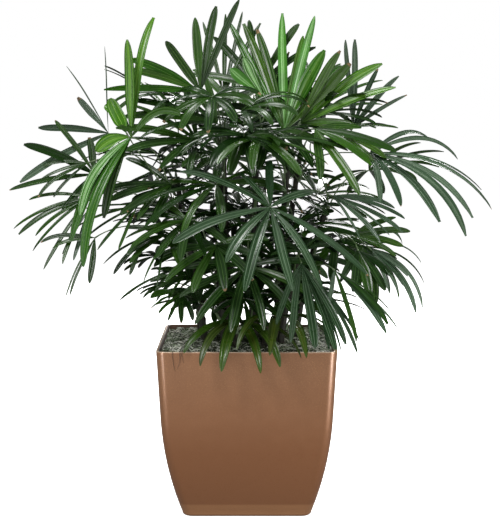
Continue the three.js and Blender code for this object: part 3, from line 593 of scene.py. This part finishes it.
def planFronds():
    nodes = []
    for index, row in enumerate(canes):
        for frond in row["fronds"]:
            nodes.append({"cane": index, "fronds": [frond] + ([frond["beside"]] if "beside" in frond else [])})
    load = [len(row["fronds"]) for row in canes]
    for node in fillerNodes():
        index = chooseCane(node["fronds"][0]["hub"], load)
        load[index] += 1
        nodes.append({"cane": index, "fronds": node["fronds"]})
    usual = {"roll": 0, "spread": 200, "wide": blade["wide"], "tone": "deep"}
    seed = 100
    for place, node in enumerate(nodes):
        node["name"] = f"frond_{place + 1:02d}"
        grown = []
        for given in node["fronds"]:
            frond = {**usual, "seed": seed, **given}
            if "angles" in frond:
                frond["count"] = len(frond["angles"])
            frond["leaflets"] = drawLeaflets(frond, seeded(seed))
            seed += 1
            grown.append(frond)
        node["fronds"] = grown
    for index in range(len(canes)):
        mine = [node for node in nodes if node["cane"] == index]
        mine.sort(key=lambda node: -node["fronds"][0]["hub"][2])
        for order, node in enumerate(mine):
            node["order"] = order
    return nodes


def fanFrame(frond):
    azimuth, rise = radians(frond["aim"][0]), radians(frond["aim"][1])
    aim = Vector((cos(rise) * cos(azimuth), cos(rise) * sin(azimuth), sin(rise)))
    upper = Vector((-sin(rise) * cos(azimuth), -sin(rise) * sin(azimuth), cos(rise)))
    upper.rotate(Quaternion(aim, radians(frond["roll"])))
    return aim, upper, upper.cross(aim)


def leafletLine(frond, leaflet):
    aim, upper, side = fanFrame(frond)
    angle = radians(leaflet["angle"])
    along = aim * cos(angle) + side * sin(angle)
    across = upper.cross(along)
    cup = radians(blade["cup"] * (1 + 0.4 * leaflet["sag"]))
    heading = along * cos(cup) + upper * sin(cup)
    droop = frond["droop"] * (1 + 0.25 * leaflet["sag"])
    point = Vector(frond["hub"])
    line = [(point.copy(), heading.copy(), across.copy())]
    for s in range(blade["steps"]):
        share = (s + 0.5) / blade["steps"]
        heading = (heading + Vector((0, 0, -droop * 2 * share / blade["steps"]))).normalized()
        across = (across - heading * across.dot(heading)).normalized()
        across.rotate(Quaternion(heading, leaflet["twist"] / blade["steps"]))
        point = point + heading * (leaflet["length"] / blade["steps"])
        line.append((point.copy(), heading.copy(), across.copy()))
    return line


def bowed(foot, second, third, hub, steps):
    points = []
    for s in range(steps + 1):
        t = s / steps
        u = 1 - t
        points.append(foot * u ** 3 + second * 3 * u * u * t + third * 3 * u * t * t + hub * t ** 3)
    return points


def stalkPoints(node, frond):
    row = canes[node["cane"]]
    hub = Vector(frond["hub"])
    low = shoot if row["top"][2] < shoot["lowerThan"] else stalk
    z = row["top"][2] - low["firstBelowTop"] - low["spacing"] * node["order"]
    middle = caneAt(row, z)
    first = node["fronds"][0]["hub"]
    azimuth = atan2(first[1] - middle.y, first[0] - middle.x)
    outward = Vector((cos(azimuth), sin(azimuth), 0))
    foot = middle + outward * (caneRadius(row, z) + 1.2)
    reach = (foot - hub).length
    leave = (outward * 0.4 + Vector((0, 0, 0.8))).normalized()
    arrive = (fanFrame(frond)[0] + Vector((0, 0, 0.25))).normalized()
    return bowed(foot, foot + leave * reach * 0.4, hub - arrive * reach * 0.35, hub, stalk["steps"])


fronds = planFronds()


# canes: overlapping fibrous sheaths with a ragged upper edge, and loose fibres round them

def sheathFinish():
    f = Finish("fibrousSheath")
    thread = f.noise(1, 4, 0.65, (900, 900, 70))
    patch = f.noise(28, 3, 0.5)
    base = f.blend(f.spread(thread, 0.35, 0.65), cane["dark"], cane["sheath"])
    base = f.blend(f.spread(patch, 0.55, 0.72) * 0.6, base, cane["fibre"])
    return f.surface(Base_Color=base, Roughness=0.82, Normal=f.bump(thread, 0.7, 0.001))


def fibreFinish():
    f = Finish("looseFibre")
    patch = f.noise(200, 2, 0.5)
    base = f.blend(f.spread(patch, 0.3, 0.7), cane["fibre"], cane["sheath"])
    return f.surface(Base_Color=base, Roughness=0.8)


def makeCanes():
    sheath = Shape()
    fibre = Shape()
    for index, row in enumerate(canes):
        draw = seeded(500 + index)
        top = row["top"][2]
        z = soilTop + 0.4
        ring = None
        start, length = z, draw(*cane["sheathLength"])
        lobes = draw(0, 6)
        while z < top + cane["tip"]:
            share = (z - start) / length
            if share >= 1:
                start, length, share = z, draw(*cane["sheathLength"]), 0
                lobes = draw(0, 6)
            middle = caneAt(row, z)
            closing = 1 if z < top - 6 else max(0.25, (top + cane["tip"] - z) / (cane["tip"] + 6))
            base = caneRadius(row, z) * closing
            points = []
            for i in range(cane["sides"]):
                angle = 2 * pi * i / cane["sides"]
                ragged = 0.06 * sin(3 * angle + lobes) * share
                radius = base * (0.9 + 0.13 * share + ragged) + draw(-0.12, 0.12)
                points.append(middle + Vector((cos(angle) * radius, sin(angle) * radius, 0)))
            made = sheath.ring(points)
            if ring:
                sheath.bridge(ring, made)
            else:
                sheath.face(list(reversed(made)))
            ring = made
            z += cane["ring"]
        sheath.face(ring)
        for _ in range(cane["fibres"]):  # slanting round the cane
            z = draw(soilTop + 4, top - 22)
            angle, slant, length = draw(0, 2 * pi), draw(-0.5, 0.5), draw(*cane["fibreLength"])
            previous = None
            for s in range(6):
                at = z + length * s / 5
                bow = 0.5 + (1.6 if s in (2, 3) else 0.6 if s in (1, 4) else 0) * draw(0.2, 1)
                a = angle + slant * s / 5
                out = Vector((cos(a), sin(a), 0))
                middle = caneAt(row, at) + out * (caneRadius(row, at) * 1.02 + bow)
                side = Vector((-sin(a), cos(a), 0)) * 0.35
                made = fibre.ring([middle - side, middle + side, middle + out * 0.4])
                if previous:
                    fibre.bridge(previous, made)
                previous = made
    names = [f"cane_{i + 1:02d}" for i in range(len(canes))]
    sheath.make("caneSheaths", [sheathFinish()], names, "cane")
    fibre.make("caneFibres", [fibreFinish()], [], "cane")


makeCanes()
print("canes made")


# fronds: a round stalk, then ribbed leaflets, narrow at the hub and tapering to a worn tip

leaf = {
    "stations": 22, "closer": 1.35, "fold": 1.2, "dish": 0.14, "wave": 1.6, "bow": 0.03,
    "foot": 0.17, "widest": 0.5, "blunt": (2.6, 6), "end": (0.1, 0.42), "narrowRoom": 14,
    "dryShare": 0.14, "dryLength": (1.5, 5), "second": 0.4, "ribbed": 0.75,
    # across a leaflet: place from edge to edge, height in folds, and the band that starts there
    "section": ((-1, 0.9, "blade"), (-0.70, 0, "rib"), (-0.61, 0.05, "blade"), (-0.34, 0.8, "middle"),
                (-0.05, -0.35, "rib"), (0.05, -0.35, "middle"), (0.34, 0.8, "blade"), (0.61, 0.05, "rib"),
                (0.70, 0, "blade"), (1, 0.9, None)),
    # main colour, a second one dealt to some leaflets, the ribs, painted lighter as sheen, and the middle of a
    # striped leaflet, painted lighter as sheen
    "tones": {
        "mid": (tint(40, 76, 12), tint(30, 60, 12), tint(78, 108, 48), tint(54, 86, 24)),
        "fresh": (tint(56, 105, 12), tint(44, 86, 10), tint(110, 152, 58), tint(82, 128, 34)),
        "pale": (tint(60, 112, 36), tint(50, 96, 26), tint(176, 204, 160), tint(116, 160, 96)),
        "green": (tint(36, 82, 8), tint(46, 76, 14), tint(80, 116, 48), tint(58, 98, 26)),
        "deep": (tint(20, 46, 8), tint(34, 64, 10), tint(64, 92, 46), tint(32, 60, 16)),
        # the grey tone is painted sheen: green greyed as if catching light
        "grey": (tint(46, 68, 46), tint(60, 80, 60), tint(112, 130, 110), tint(76, 94, 74)),
        "blue": (tint(26, 50, 24), tint(36, 58, 34), tint(92, 112, 88), tint(48, 70, 46)),
        "olive": (tint(46, 74, 14), tint(44, 60, 16), tint(84, 100, 46), tint(64, 80, 22)),
        "inner": (tint(12, 32, 6), tint(22, 46, 8), tint(44, 70, 34), tint(22, 46, 12)),
        "crown": (tint(16, 40, 8), tint(30, 58, 10), tint(56, 84, 40), tint(28, 54, 16)),
    },
    # the share of leaflets with such a painted sheen middle, where it isn't 0.3
    "sheenStriped": {"fresh": 0.5, "green": 0.2, "pale": 1, "grey": 0.5, "blue": 0.4, "inner": 0.2},
    "dry": (tint(132, 108, 72), tint(74, 58, 38)), "stalk": (tint(56, 78, 38), tint(92, 108, 78)),
}


# fronds whose leaflets differ from each other
mixed = {
    "frond_01": ("mid", "fresh", "fresh", "fresh", "fresh", "pale", "green", "green", "mid"),
    "frond_12": ("deep", "deep", "mid", "mid", "green", "mid", "green"),
    "frond_18": ("green", "fresh", "fresh", "green", "green"),
    "frond_20": ("green", "green", "mid", "pale", "green", "pale", "green", "green"),
    "frond_27": ("grey", "deep", "grey", "deep", "grey", "deep"),
    "frond_28": ("mid", "mid", "grey", "deep", "grey", "grey", "deep", "grey", "grey"),
    "frond_29": ("olive",) * 6,
    "frond_30": ("olive",) * 5,
}


def leafFinish(name, colour):
    f = Finish(name)
    patch = f.noise(24, 3, 0.55)
    fine = f.noise(240, 2, 0.5)
    base = f.blend(f.spread(patch, 0.3, 0.7), colour, shade(colour, 0.7))
    base = f.blend(f.spread(fine, 0.4, 0.7) * 0.2, base, shade(colour, 1.4))
    return f.surface(Base_Color=base, Roughness=f.spread(patch, 0.3, 0.7, 0.23, 0.35), Specular_IOR_Level=0.32,
                     Normal=f.bump(fine, 0.1, 0.0006))


def along(line, share):
    # place, heading and width direction at a share of the leaflet's length
    at = min(max(share, 0), 1) * (len(line) - 1)
    k = min(int(at), len(line) - 2)
    t = at - k
    (p0, h0, a0), (p1, h1, a1) = line[k], line[k + 1]
    chord = (p1 - p0).length
    bent = p0 * (2 * t ** 3 - 3 * t * t + 1) + h0 * chord * (t ** 3 - 2 * t * t + t)
    bent = bent + p1 * (3 * t * t - 2 * t ** 3) + h1 * chord * (t ** 3 - t * t)
    return bent, h0.lerp(h1, t).normalized(), a0.lerp(a1, t).normalized()


def widthShare(share, widest, blunt, end):
    # narrow at the hub, then swelling, then closing in to a blunt or worn tip
    if share < widest:
        return lerp(leaf["foot"], 1, sin(pi / 2 * share / widest))
    past = (share - widest) / (1 - widest)
    return max(end, (1 - past ** blunt) ** 0.55)


def growLeaflet(shape, frond, leaflet, tone, room, draw):
    line = leafletLine(frond, leaflet)
    length = leaflet["length"]
    wide = leaflet["wide"] * draw(0.86, 1.1)
    widest, blunt, end = leaf["widest"] + draw(-0.1, 0.1), draw(*leaf["blunt"]), draw(*leaf["end"])
    if tone == "olive":  # the low shoots are broader, and pointed
        wide, widest, blunt, end = wide * 1.15, widest - 0.05, 2, 0.06
    phase, swell = draw(0, 6), draw(0.4, 1) * leaf["wave"]
    bow = draw(-1, 1) * leaf["bow"] * length
    main = 0 if draw(0, 1) < 1 - leaf["second"] else 1
    sheenStriped = draw(0, 1) < leaf["sheenStriped"].get(tone, 0.3)
    # painted sheen: lighter ribs, and on striped leaflets a lighter middle, as streaks of light along the leaflet
    slotOf = {"blade": main, "rib": 2 if draw(0, 1) < leaf["ribbed"] else main, "middle": 3 if sheenStriped else main}
    dryLength = draw(*leaf["dryLength"]) if draw(0, 1) < leaf["dryShare"] else 0
    section = leaf["section"]
    previous = None
    for s in range(leaf["stations"] + 1):
        even = s / leaf["stations"]
        share = 1 - (1 - even) ** leaf["closer"]  # closer together towards the tip
        run = share * length
        middle, heading, across = along(line, share)
        upper = heading.cross(across)
        full = min(wide * widthShare(share, widest, blunt, end), run * radians(room) + 1.2)
        middle = middle + across * (swell * sin(phase + 6 * share) * share + bow * share * share)
        points = []
        for u, height, band in section:
            fold = leaf["fold"] * height * min(1, full / 9)
            lift = leaf["dish"] * full * 0.5 * abs(u) * (1.6 - share)
            points.append(middle + across * (u * full / 2) + upper * (fold + lift))
        made = shape.ring(points)
        if previous:
            dry = run > length - dryLength
            slots = [4 if dry else slotOf[band] for _, _, band in section[:-1]]
            shape.bridge(previous, made, closed=False, slots=slots)
        previous = made


def growStalk(shape, points):
    across = Vector((1, 0, 0))
    previous = None
    count = len(points) - 1
    for s, point in enumerate(points):
        heading = (points[min(s + 1, count)] - points[max(s - 1, 0)]).normalized()
        across = (across - heading * across.dot(heading)).normalized()
        other = heading.cross(across)
        share = s / count
        radius = 1.7 - 0.5 * share + 2.4 * max(0, 1 - share * 7) + 0.8 * max(0, share * 12 - 11)
        ring = []
        for i in range(stalk["sides"]):
            angle = 2 * pi * i / stalk["sides"]
            ring.append(point + across * cos(angle) * radius + other * sin(angle) * radius * 0.85)
        made = shape.ring(ring)
        if previous:
            shape.bridge(previous, made)
        previous = made
    shape.face(previous)


def roomAt(leaflets, i):
    gaps = []
    if i > 0:
        gaps.append(leaflets[i]["angle"] - leaflets[i - 1]["angle"])
    if i + 1 < len(leaflets):
        gaps.append(leaflets[i + 1]["angle"] - leaflets[i]["angle"])
    return max(leaf["narrowRoom"], min([abs(g) for g in gaps] + [60]))


# younger fans between the planned ones: they stand close round each cane, turning as they rise.
# From crownFrom up they take the crown's tone, and between the open heights the right side has none.
young = {
    "from": 400, "step": 46, "turn": 137.5, "above": 70, "below": 20, "ceiling": 580, "crownFrom": 640,
    "crownTop": 700, "middle": 100, "openFrom": 60, "open": (600, 720), "steps": 10,
    "out": (45, 95), "up": (20, 50), "rise": (-15, 30), "spread": (190, 290), "count": (6, 8.99),
    "reach": (115, 180), "droop": (0.4, 0.9), "wide": (14, 20), "slighter": 0.75, "sideFrom": 80,
}

# young fans with a place of their own, each on the cane that it names
placedFans = [
    fan((-5, -170, 775), (-90, -35), 112, 1.2, cane=3, wide=25, spread=200, count=6),
    fan((-13, -150, 823), (-20, 12), 150, 1.1, cane=3, roll=15, wide=18, spread=150, count=6),
    fan((-70, -100, 853), (-110, -30), 125, 0.9, cane=3, wide=22, spread=260, count=8),
    fan((-327, -40, 719), (180, -22), 125, 0.6, cane=1, roll=-60, wide=9, spread=70, count=4),
    fan((-316, -60, 634), (-120, -62), 135, 0.4, cane=1, wide=10, tone="grey", spread=50, count=3),
    fan((-194, -120, 577), (-155, -40), 118, 0.5, cane=0, roll=-40, wide=9, spread=60, count=3),
    fan((-124, -130, 497), (-160, -28), 80, 0.6, cane=2, roll=-35, wide=9, spread=80, count=4),
    fan((196, -60, 772), (-12, -24), 110, 0.5, cane=9, roll=40, wide=15, tone="green", spread=50, count=3),
    fan((211, -120, 578), (0, -2), 112, 0.3, cane=11, roll=60, wide=14, tone="mid", spread=70, count=4),
    fan((222, -150, 549), (-70, -62), 112, 0.5, cane=11, wide=20, spread=110, count=5),
    fan((249, -140, 549), (-20, -50), 105, 0.6, cane=11, roll=30, wide=10, tone="grey", spread=60, count=4),
    fan((133, -210, 500), (-45, -62), 165, 0.5, cane=10, wide=12, tone="blue", spread=50, count=4),
    fan((108, -80, 805), (10, 55), 162, 0.25, cane=8, roll=65, wide=22, tone="green", spread=24, count=2),
    fan((37, -60, 847), (178, 49), 95, 0.1, cane=3, roll=-75, wide=24, tone="pale", spread=36, count=2),
    fan((-237, -152, 782), (180, 61), 76, 0.05, cane=0, roll=-75, wide=28, tone="fresh", spread=20, count=1),
    fan((-6, -130, 450), (-90, -50), 90, 0.6, cane=5, wide=12, spread=160, count=6),
    fan((-150, -40, 468), (-170, -12), 88, 0.6, cane=0, wide=12, spread=180, count=6),
    fan((-72, -40, 432), (-100, -5), 85, 0.6, cane=3, wide=13, spread=220, count=7),
    fan((-118, 30, 425), (-150, -5), 78, 0.6, cane=1, wide=12, spread=200, count=6),
    fan((98, 10, 428), (-60, -5), 85, 0.6, cane=8, wide=13, spread=220, count=7),
    fan((30, 20, 440), (-80, -5), 85, 0.6, cane=6, wide=13, spread=240, count=7),
]


def youngStalk(row, low, azimuth, frond):
    out = Vector((cos(azimuth), sin(azimuth), 0))
    foot = caneAt(row, low) + out * caneRadius(row, low)
    hub = Vector(frond["hub"])
    reach = (hub - foot).length
    second = foot + (out * 0.3 + Vector((0, 0, 0.9))) * reach * 0.45
    return bowed(foot, second, hub - fanFrame(frond)[0] * reach * 0.3, hub, young["steps"])


def placedFan(k, given):
    frond = {"roll": 0, "tone": "crown", "seed": 980 + k, **given}
    frond["leaflets"] = drawLeaflets(frond, seeded(800 + k))
    row = canes[frond["cane"]]
    azimuth = atan2(frond["hub"][1] - row["top"][1], frond["hub"][0] - row["top"][0])
    low = min(row["top"][2] - 6 - 7 * (k % 3), frond["hub"][2] - 25)
    frond["path"] = youngStalk(row, low, azimuth, frond)
    return frond


def topFor(row):
    # the middle canes carry fans above their tips, and the right side keeps some sky
    x, _, top = row["top"]
    if top > young["crownTop"] and abs(x) < young["middle"]:
        return top + young["above"]
    return min(top - young["below"], young["ceiling"] if x > young["sideFrom"] else top)


def youngFans():
    made = [placedFan(k, given) for k, given in enumerate(placedFans)]
    for index, row in enumerate(canes):
        top = row["top"][2]
        if top < shoot["lowerThan"]:
            continue
        draw = seeded(700 + index)
        slighter = young["slighter"] if abs(row["top"][0]) > young["middle"] else 1
        z, azimuth = young["from"] + draw(0, young["step"]), draw(0, 360)
        while z < topFor(row):
            out = draw(*young["out"])
            a = radians(azimuth)
            hub = caneAt(row, z) + Vector((cos(a) * out, sin(a) * out, draw(*young["up"])))
            if hub.x > young["openFrom"] and young["open"][0] < z < young["open"][1]:
                azimuth += young["turn"]
                z += young["step"]
                continue
            aim = (azimuth + draw(-25, 25), draw(*young["rise"]))
            roll, spread, count = draw(-25, 25), draw(*young["spread"]), int(draw(*young["count"]))
            reach = draw(*young["reach"]) * min(1, 0.6 + (z - young["from"]) / 600) * slighter
            frond = fan(tuple(hub), aim, reach, draw(*young["droop"]), roll=roll, spread=spread, count=count,
                        wide=draw(*young["wide"]), tone="crown" if z > young["crownFrom"] else "inner")
            frond["leaflets"] = drawLeaflets(frond, draw)
            frond["seed"] = 1000 + len(made) + 40 * index
            frond["path"] = youngStalk(row, min(z - 25, top - 12), a, frond)
            made.append(frond)
            azimuth += young["turn"]
            z += young["step"] * draw(0.8, 1.2)
    return made


def growFrond(shapes, frond, tones):
    draw = seeded(9000 + frond["seed"])
    for i, leaflet in enumerate(frond["leaflets"]):
        growLeaflet(shapes[tones[i]], frond, leaflet, tones[i], roomAt(frond["leaflets"], i), draw)


def makeFronds():
    shapes = {tone: Shape() for tone in leaf["tones"]}
    replaced = {tone: set() for tone in leaf["tones"]}
    stalks = Shape()
    for node in fronds:
        start = None
        for k, frond in enumerate(node["fronds"]):
            tones = [frond["tone"]] * len(frond["leaflets"])
            if k == 0:
                tones = mixed.get(node["name"], tones)
            growFrond(shapes, frond, tones)
            for tone in tones:
                replaced[tone].add(node["name"])
            path = stalkPoints(node, frond)
            start = start or path[0].copy()
            path[0] = start
            growStalk(stalks, path)
    for frond in youngFans():
        growFrond(shapes, frond, [frond["tone"]] * len(frond["leaflets"]))
        growStalk(stalks, frond["path"])
    replaced["inner"] = replaced["crown"] = replaced["deep"]
    dry = patchy("dryTip", (180, 3, 0.6), (0.35, 0.65), leaf["dry"], 0.75, (0.3, 0.0006))
    green = patchy("stalkGreen", (30, 3, 0.5), (0.35, 0.7), leaf["stalk"], 0.45, (0.1, 0.0005))
    for tone, shape in shapes.items():
        finishes = [leafFinish(f"{tone}Leaf{k + 1}", colour) for k, colour in enumerate(leaf["tones"][tone])]
        piece = shape.make(f"{tone}Leaflets", finishes + [dry], sorted(replaced[tone]), "leaf")
        print(piece.name, len(piece.data.polygons) * 2, "triangles")
    stalks.make("frondStalks", [green], [], "leaf")


makeFronds()
print("fronds made")


# studio: a wide pale floor, soft light all round, and the camera

studio = {"floor": tint(252, 252, 252), "half": 14000, "parts": 14, "glow": 0.8, "room": 0.2}
# each lamp's place, what it points at, its width and height, its power, and whether it shows as a sheen
lamps = {
    "keyLamp": ((-1.4, -2.2, 3.2), (0, 0, 0.6), (1.0, 1.0), 95, True),
    "rightLamp": ((2.6, -1.5, 1.0), (0, 0, 0.4), (0.35, 2.0), 36, True),
    "leftLamp": ((-2.2, -2.2, 1.0), (0, 0, 0.4), (0.4, 2.0), 16, True),
    "frontLamp": ((-0.4, -3.6, 0.9), (0, 0, 0.35), (2.4, 1.2), 27, True),
    "topLamp": ((0.2, 0.3, 3.2), (0, 0, 0.6), (1.4, 1.2), 62, False),
    "sheenLamp": ((-0.5, 0.9, 2.8), (0, 0, 0.6), (0.6, 0.6), 18, True),
    "backLamp": ((0.9, 3.0, 2.0), (0, 0, 0.6), (1.4, 1.4), 130, True),
    # low strips that draw the bright lines down the planter's corners
    "rightStrip": ((0.9, -0.62, 0.2), (0.17, -0.17, 0.2), (0.42, 0.36), 6, True),
    "leftStrip": ((-0.8, -0.85, 0.2), (-0.17, -0.17, 0.2), (0.26, 0.36), 3, True),
}
view = {"place": (0.0065, -2.918, 0.826), "down": 6.2, "lens": 95.86, "sensor": 36, "far": 50}


def makeStudio():
    floor = Shape()
    floor.sheet(studio["half"], studio["parts"], lambda x, y: 0)
    f = Finish("paleFloor")
    pale = f.surface(Base_Color=studio["floor"], Roughness=0.9, Specular_IOR_Level=0.1,
                     Emission_Color=(1, 1, 1, 1), Emission_Strength=studio["glow"])
    piece = floor.build("studioFloor", [pale])
    # seen, and takes the shadow, but throws no haze up into the leaves
    piece.visible_diffuse = False
    piece.visible_glossy = False


def makeRoom():
    # the room is seen white, and lights the plant softly
    f = Finish("softRoom", "worlds")
    seen = f.node("ShaderNodeLightPath")["Is Camera Ray"]
    dim, white = [f.node("ShaderNodeBackground", {}, {"Color": (1, 1, 1, 1), "Strength": strength})["Background"]
                  for strength in (studio["room"], 1)]
    picked = f.node("ShaderNodeMixShader", {}, {0: seen, 1: dim, 2: white})["Shader"]
    f.node("ShaderNodeOutputWorld", {}, {"Surface": picked})
    bpy.context.scene.world = f.owner


def makeLamps():
    for name, (place, target, size, power, sheen) in lamps.items():
        light = bpy.data.lights.new(name, "AREA")
        light.shape = "RECTANGLE"
        light.size, light.size_y = size
        light.energy = power
        lamp = bpy.data.objects.new(name, light)
        lamp.location = place
        lamp.rotation_euler = (Vector(target) - Vector(place)).to_track_quat("-Z", "Y").to_euler()
        lamp.visible_camera = False
        lamp.visible_glossy = sheen
        bpy.context.scene.collection.objects.link(lamp)


def makeCamera():
    lens = bpy.data.cameras.new("camera")
    lens.lens, lens.sensor_width, lens.clip_end = view["lens"], view["sensor"], view["far"]
    camera = bpy.data.objects.new("camera", lens)
    camera.location = view["place"]
    camera.rotation_euler = (radians(90 - view["down"]), 0, 0)
    bpy.context.scene.collection.objects.link(camera)
    bpy.context.scene.camera = camera


makeStudio()
makeRoom()
makeLamps()
makeCamera()
bpy.context.scene.view_settings.view_transform = "Standard"

bpy.context.view_layer.update()
print("scene done")
